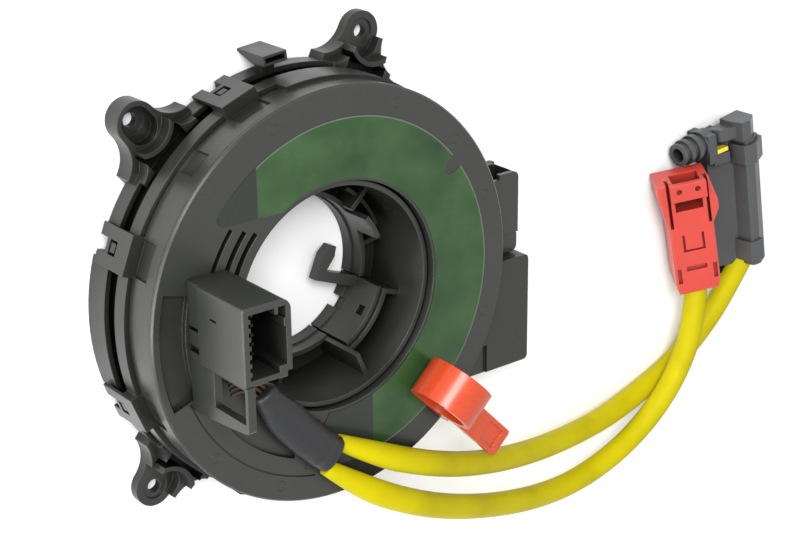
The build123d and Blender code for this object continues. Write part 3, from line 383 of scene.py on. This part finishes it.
def tones(tree, value, dark, light, dark_at=0.0, light_at=1.0):
    """The dark colour up to dark_at, the light one from light_at on, and a mix between them."""
    node = add_node(tree, "ShaderNodeValToRGB", {"Fac": value})
    for stop, colour, at in zip(node.color_ramp.elements, (dark, light), (dark_at, light_at)):
        stop.position = at
        stop.color = colour
    return node.outputs["Color"]


def uneven(tree, height, strength, distance, **more):
    """A bump of the given height, as the normal that the shader takes."""
    values = {"Height": height, "Strength": strength, "Distance": distance, **more}
    return add_node(tree, "ShaderNodeBump", values).outputs["Normal"]


# %% [markdown]
# ## Finishes
#
# Nearly everything here is moulded, so one recipe serves most pieces: fine grain from the
# tool's texture, soft patches where hands have polished it, a trace of dust, and edges that
# catch light because no real moulding has a sharp one; those edges are also painted paler, a
# painted highlight, and crevices are painted darker and duller, a painted shade. Photographs
# wrapped on the pieces could do this too, but noises need no pictures and stay sharp at any
# distance. Each finish names its own colour, gloss and grain. Patterns read Object
# coordinates, which here are metres in the part's own frame.

# %% Values that all moulded finishes share
PATCH_SCALE = 70.0
ROUNDING_R = 0.00028
SKY_REACH = 0.014
GRAIN_DEPTH = 0.0002
GLOSS_DRIFT = 0.09
SHARP_MATCH, FLAT_MATCH = 0.80, 0.995
DUST_FROM, DUST_FULL = 0.62, 0.80
SHUT_IN, OPEN_AIR = 0.10, 0.68


def shade(colour, gain, lift=0.0):
    """A colour times the gain, plus the lift, with the alpha of 1 that sockets ask for."""
    return (*[min(1.0, c * gain + lift) for c in colour], 1)


# The second reach printed is that of the painted shade in crevices.
print("edges are rounded by", ROUNDING_R / MM, "mm, dirt gathers within", SKY_REACH / MM, "mm")


# %% One recipe for moulded plastic and soft sleeves
def finish(name, colour, rough, grain=0.12, grain_scale=1800.0, patch=0.10, edge=0.35, dust=0.05,
           coat=0.0, through=0.0, under=0.0, crevice=0.85):
    """Colour and roughness drift with a slow noise, bump is a fine noise, and the difference
    between the true normal and a rounded one marks the edges, which are made paler as a painted
    highlight. How much of the sky a place sees decides how dark and dull it is: painted shade
    in crevices."""
    material, tree, shader = new_material(name)
    place = object_place(tree)
    slow = noise(tree, place, PATCH_SCALE, 6.0)
    fine = noise(tree, place, grain_scale, 3.0)

    bevel = add_node(tree, "ShaderNodeBevel", {"Radius": ROUNDING_R}, samples=4)
    rounded = bevel.outputs["Normal"]
    true = add_node(tree, "ShaderNodeNewGeometry", {}).outputs["Normal"]
    match = add_node(tree, "ShaderNodeVectorMath", {0: rounded, 1: true}, operation="DOT_PRODUCT")
    # Where the rounded normal parts from the true one, the edge is painted paler: a painted
    # highlight.
    painted_edge_highlight = ramp(tree, match.outputs["Value"], FLAT_MATCH, SHARP_MATCH, 0.0, edge)
    specks = ramp(tree, fine, DUST_FROM, DUST_FULL, 0.0, dust)
    pale = calculate(tree, "MAXIMUM", painted_edge_highlight, specks)

    drift = blend(tree, slow, shade(colour, 1 - patch), shade(colour, 1 + patch, 0.004 * patch))
    # The colour is paler where the edge mask or the dust specks are high: painted highlight on
    # edges, real dust in the specks.
    mixed = blend(tree, pale, drift, shade(colour, 1.6, 0.05))
    # Ambient occlusion darkens the colour and the gloss in crevices: painted shade.
    sky = add_node(tree, "ShaderNodeAmbientOcclusion", {"Distance": SKY_REACH}, samples=6)
    painted_shade_factor = ramp(tree, sky.outputs["AO"], SHUT_IN, OPEN_AIR, 1.0 - crevice, 1.0)
    painted_shade_colour = add_node(tree, "ShaderNodeVectorMath", {0: mixed, "Scale": painted_shade_factor},
                     operation="SCALE")

    glossiest, dullest = max(0.05, rough - GLOSS_DRIFT), min(1.0, rough + GLOSS_DRIFT)
    # The base colour and the specular level both carry the painted crevice shade.
    set_inputs(tree, shader, {
        "Base Color": painted_shade_colour.outputs["Vector"],
        "Specular IOR Level": calculate(tree, "MULTIPLY", painted_shade_factor, 0.5),
        "Roughness": ramp(tree, slow, 0.3, 0.7, glossiest, dullest),
        "Normal": uneven(tree, fine, grain, GRAIN_DEPTH, Normal=rounded),
        "Coat Weight": coat,
        "Transmission Weight": through,
    })
    if under:
        set_inputs(tree, shader, {
            "Subsurface Weight": under,
            "Subsurface Radius": (1.0, 0.25, 0.1),
            "Subsurface Scale": 0.0025,
        })
    return material


# %% The finishes of this part
FINISHES = {
    "case_plastic": finish("case_moulding", (0.0150, 0.0160, 0.0140), 0.34, edge=0.30),
    "cover_plastic": finish("cover_moulding", (0.0165, 0.0176, 0.0154), 0.33, edge=0.30),
    "rotor_plastic": finish("rotor_moulding", (0.0240, 0.0256, 0.0222), 0.33, grain=0.09,
                            edge=0.36),
    "socket_plastic": finish("socket_moulding", (0.0270, 0.0286, 0.0256), 0.36, edge=0.36,
                             crevice=0.92),
    "key_orange": finish("key_moulding", (0.62, 0.066, 0.012), 0.30, grain=0.05, edge=0.25,
                         dust=0.0, coat=0.1, through=0.25, under=0.3, crevice=0.45),
    "plug_orange": finish("orange_moulding", (0.50, 0.045, 0.030), 0.34, grain=0.05, edge=0.25,
                          dust=0.0, coat=0.1, under=0.25, crevice=0.6),
    "plug_black": finish("plug_moulding", (0.052, 0.054, 0.056), 0.40, edge=0.30),
    "lock_yellow": finish("lock_moulding", (0.80, 0.62, 0.06), 0.35, grain=0.05, dust=0.0,
                          crevice=0.4),
    "shrink_grey": finish("shrunk_tube", (0.009, 0.0095, 0.0105), 0.46, grain=0.16,
                          grain_scale=700.0, edge=0.1, crevice=0.6),
    "wire_brown": finish("wire_jacket", (0.050, 0.020, 0.013), 0.45, edge=0.0),
    "tape_cable": finish("cable_laminate", (0.62, 0.42, 0.20), 0.30, edge=0.0),
    "liner_white": finish("slip_sheet", (0.80, 0.80, 0.77), 0.50, edge=0.0),
}
print(len(FINISHES), "moulded and soft finishes")

# %% [markdown]
# ## Tinned contacts
#
# The pins are tinned brass, dull and a little brown, with fine lines along their length from
# drawing. Their colour is kept dark as a painted shade, because they sit deep in their sockets.
# A wave texture would make even stripes; a noise that is stretched along Z gives uneven lines,
# as drawn metal has.

# %% Tinned metal
LINES_ACROSS = 3000.0
LINES_ALONG = 120.0


def tinned():
    """A noise with many lines across the pin and few along it sets its tone and its gloss."""
    material, tree, shader = new_material("tinned_contact")
    stretch = add_node(tree, "ShaderNodeMapping",
                       {"Vector": object_place(tree),
                        "Scale": (LINES_ACROSS, LINES_ACROSS, LINES_ALONG)})
    lines = noise(tree, stretch.outputs["Vector"], 1.0)
    set_inputs(tree, shader, {
        "Metallic": 1.0,
        # Both tones are dark: painted shade for pins deep in their sockets.
        "Base Color": tones(tree, lines, (0.12, 0.105, 0.08, 1), (0.24, 0.22, 0.18, 1)),
        "Roughness": ramp(tree, lines, 0.0, 1.0, 0.2, 0.4),
    })
    return material


FINISHES["contact_metal"] = tinned()
print("contact metal of", len(FINISHES["contact_metal"].node_tree.nodes), "nodes")

# %% [markdown]
# ## The printed film
#
# A thin clear film lies on the disc. It is printed green over most of its length and left
# clear at both ends, where the black disc shows through. The print stops at a straight line
# across each end, both parallel to Y, so the finish compares the surface's own X with the X
# of the line on its side. A narrow band near the outer edge is paler: a painted highlight
# along the film's outer edge.
# Three separate pieces could show this too, but the real film is one sheet.

# %% Film finish from place and radius
PRINT_FROM_X_TOP = -0.0217
PRINT_FROM_X_LOW = 0.0086
PRINT_SOFT_EDGE = 0.0003
SIDE_CHANGES_WITHIN = 0.001
FILM_MIDDLE_X = 0.0012
PALE_BAND_FROM_R = 0.0420
PALE_BAND_FULL_R = 0.0421
PRINT_DARK = (0.010, 0.034, 0.010, 1)
PRINT_LIGHT = (0.040, 0.092, 0.030, 1)
# Colour of the painted highlight along the film's outer edge.
PALE_BAND = (0.090, 0.120, 0.085, 1)
CLEAR_END = (0.022, 0.026, 0.023, 1)


def printed_film():
    """The line's X is one value where Y is above zero and another below it. The radius is the
    root of x squared plus y squared, measured from the middle of the film's own arc."""
    material, tree, shader = new_material("printed_film")
    place = object_place(tree)
    parts = add_node(tree, "ShaderNodeSeparateXYZ", {"Vector": place})
    x, y = parts.outputs["X"], parts.outputs["Y"]

    line = ramp(tree, y, -SIDE_CHANGES_WITHIN, SIDE_CHANGES_WITHIN, PRINT_FROM_X_LOW,
                PRINT_FROM_X_TOP)
    printed = ramp(tree, calculate(tree, "SUBTRACT", x, line), 0.0, PRINT_SOFT_EDGE)
    shifted = calculate(tree, "SUBTRACT", x, FILM_MIDDLE_X)
    squares = calculate(tree, "ADD", calculate(tree, "MULTIPLY", shifted, shifted),
                        calculate(tree, "MULTIPLY", y, y))
    # rim marks the paler band near the outer edge, a painted highlight.
    rim = ramp(tree, calculate(tree, "SQRT", squares), PALE_BAND_FROM_R, PALE_BAND_FULL_R)

    cloud = noise(tree, place, 90.0, 5.0)
    green = blend(tree, ramp(tree, cloud, 0.20, 0.80), PRINT_DARK, PRINT_LIGHT)
    edged = blend(tree, rim, green, PALE_BAND)
    set_inputs(tree, shader, {
        "Base Color": blend(tree, printed, CLEAR_END, edged),
        "Specular IOR Level": 0.32,
        "Roughness": ramp(tree, cloud, 0.0, 1.0, 0.16, 0.34),
        "Normal": uneven(tree, cloud, 0.08, 0.0004),
    })
    return material


FINISHES["film_green"] = printed_film()
print("film printed from X", PRINT_FROM_X_TOP / MM, "and", PRINT_FROM_X_LOW / MM, "mm")

# %% [markdown]
# ## The leads' yellow sleeves
#
# The leads wear a soft yellow tube that is dull and a little dirty from handling: its tone and
# its gloss drift with one slow noise, and a fine noise gives the skin of the tube. A little
# light enters the tube and comes out beside, as it does in soft plastic.


# %% Soft yellow tube
def yellow_tube():
    """A slow noise sets the tone and the gloss, and a fine one sets the bump."""
    material, tree, shader = new_material("soft_yellow_tube")
    place = object_place(tree)
    soil = noise(tree, place, 55.0, 7.0)
    skin = noise(tree, place, 900.0)
    soiled, clean = (0.34, 0.290, 0.001, 1), (0.47, 0.405, 0.002, 1)
    set_inputs(tree, shader, {
        "Base Color": tones(tree, soil, soiled, clean, 0.25, 0.6),
        "Specular IOR Level": 0.08,
        "Roughness": ramp(tree, soil, 0.0, 1.0, 0.38, 0.56),
        "Normal": uneven(tree, skin, 0.15, 0.0002),
        "Subsurface Weight": 0.06,
        "Subsurface Radius": (1.0, 0.7, 0.1),
        "Subsurface Scale": 0.002,
    })
    return material


FINISHES["lead_yellow"] = yellow_tube()
print(len(FINISHES), "finishes in all")

# %% [markdown]
# ## Which piece wears which finish
#
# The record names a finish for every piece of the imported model, so one loop puts them on, and
# nothing is listed twice. The new pieces take theirs by the same names.

# %% Give every node and piece its finish
slots = {row["node"]: row["material_slot"] for row in frame["record"]["subparts"]}
for node, slot_name in slots.items():
    data = frame["nodes"][node].data
    data.materials.clear()
    data.materials.append(FINISHES[slot_name])
new_pieces = [(lead_a, "lead_yellow"), (lead_b, "lead_yellow"), (sleeve, "shrink_grey")]
new_pieces += [(ring, "rotor_plastic") for ring in rings]
for piece, slot_name in new_pieces:
    piece.data.materials.append(FINISHES[slot_name])
print("finished", len(slots), "nodes and", len(new_pieces), "new pieces")

# %% [markdown]
# ## The stage
#
# A white floor keeps a soft shadow under the part, and the world behind it is white to the
# camera, so the picture has the plain ground of a catalogue photograph. A brighter lamp would
# whiten the ground as well, but it would bleach the part too. So the world is white only to
# rays from the camera, from gloss and through clear plastic, and dimmer to the part itself.

# %% The floor
FLOOR_REACH = 3.0
FLOOR_Z = -0.0003
FLOOR_COLOUR = (0.92, 0.92, 0.92, 1.0)

white, floor_tree, floor_shader = new_material("white_floor")
set_inputs(floor_tree, floor_shader, {"Base Color": FLOOR_COLOUR, "Roughness": 0.9})
corners = [(FLOOR_REACH * x, FLOOR_REACH * y, FLOOR_Z)
           for x, y in ((-1, -1), (1, -1), (1, 1), (-1, 1))]
floor_mesh = bpy.data.meshes.new("floor")
floor_mesh.from_pydata(corners, [], [(0, 1, 2, 3)])
floor_mesh.materials.append(white)
floor = bpy.data.objects.new("floor", floor_mesh)
bpy.context.scene.collection.objects.link(floor)
print("floor", 2 * FLOOR_REACH, "m wide at", FLOOR_Z / MM, "mm")

# %% The world
SKY_LEVEL = 0.62

world = bpy.data.worlds.new("studio")
bpy.context.scene.world = world
world.use_nodes = True
sky_tree = world.node_tree
paths = add_node(sky_tree, "ShaderNodeLightPath", {})
seen = paths.outputs["Is Camera Ray"]
for kind in ("Is Glossy Ray", "Is Transmission Ray"):
    seen = calculate(sky_tree, "MAXIMUM", seen, paths.outputs[kind])
set_inputs(sky_tree, sky_tree.nodes["Background"], {
    "Color": (1.0, 1.0, 1.0, 1.0),
    "Strength": ramp(sky_tree, seen, 0.0, 1.0, SKY_LEVEL, 1.0),
})
bpy.context.scene.view_settings.view_transform = "Standard"
print("world level", SKY_LEVEL, "on the part")


# %% Two soft lamps
def soft_lamp(name, place, aim, size, power):
    """A square lamp that looks from its place at its aim, in metres and watts."""
    data = bpy.data.lights.new(name, "AREA")
    data.shape = "SQUARE"
    data.size = size
    data.energy = power
    lamp = bpy.data.objects.new(name, data)
    bpy.context.scene.collection.objects.link(lamp)
    lamp.location = place
    lamp.rotation_euler = (Vector(aim) - Vector(place)).to_track_quat("-Z", "Y").to_euler()
    print(name, power, "W")


soft_lamp("key_lamp", place=(-0.50, 0.50, 0.85), aim=(0.03, 0, 0), size=0.45, power=13.0)
soft_lamp("fill_lamp", place=(-0.9, -0.15, 0.35), aim=(0, 0, 0), size=0.6, power=8.0)
